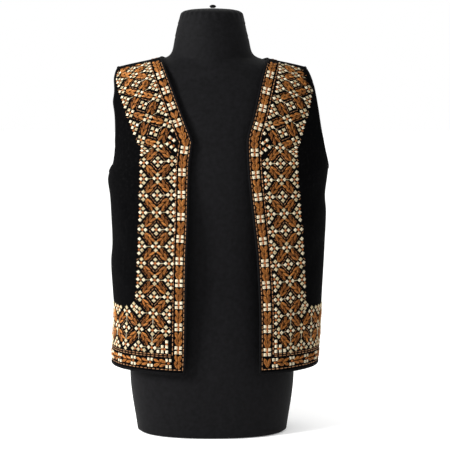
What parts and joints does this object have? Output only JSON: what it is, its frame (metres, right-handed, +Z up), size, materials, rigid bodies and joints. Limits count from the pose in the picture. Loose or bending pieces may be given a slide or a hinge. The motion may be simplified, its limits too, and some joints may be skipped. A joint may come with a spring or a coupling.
{
  "type": "folk vest on a dress form",
  "caption": "Child's open-front sleeveless folk vest of felted wool with bound edges, worn on a smooth limbless dress form with a short neck and a flat base.",
  "frame": {"origin": "centre of the dress form's flat base", "axes": "+Z up the form to its neck, -Y out of the vest's open front, +X to the wearer's left"},
  "size_m": [0.328, 0.1929, 0.6353],
  "materials": {
    "wool": "matte felted wool, black",
    "binding": "rolled black cotton braid",
    "jersey": "fine knitted jersey, black",
    "brown_thread": "stranded thread, satin stitch",
    "cream_thread": "stranded thread, satin stitch",
    "russet_thread": "stranded thread, satin stitch"
  },
  "bodies": {
    "root": {"front_right": "wool", "front_left": "wool", "back": "wool", "binding_front_right": "binding", "binding_front_left": "binding", "binding_armhole_right": "binding", "binding_armhole_left": "binding", "binding_back_hem": "binding", "binding_back_neck": "binding", "form_body": "jersey", "cover_knot": "jersey"}
  },
  "joints": []
}
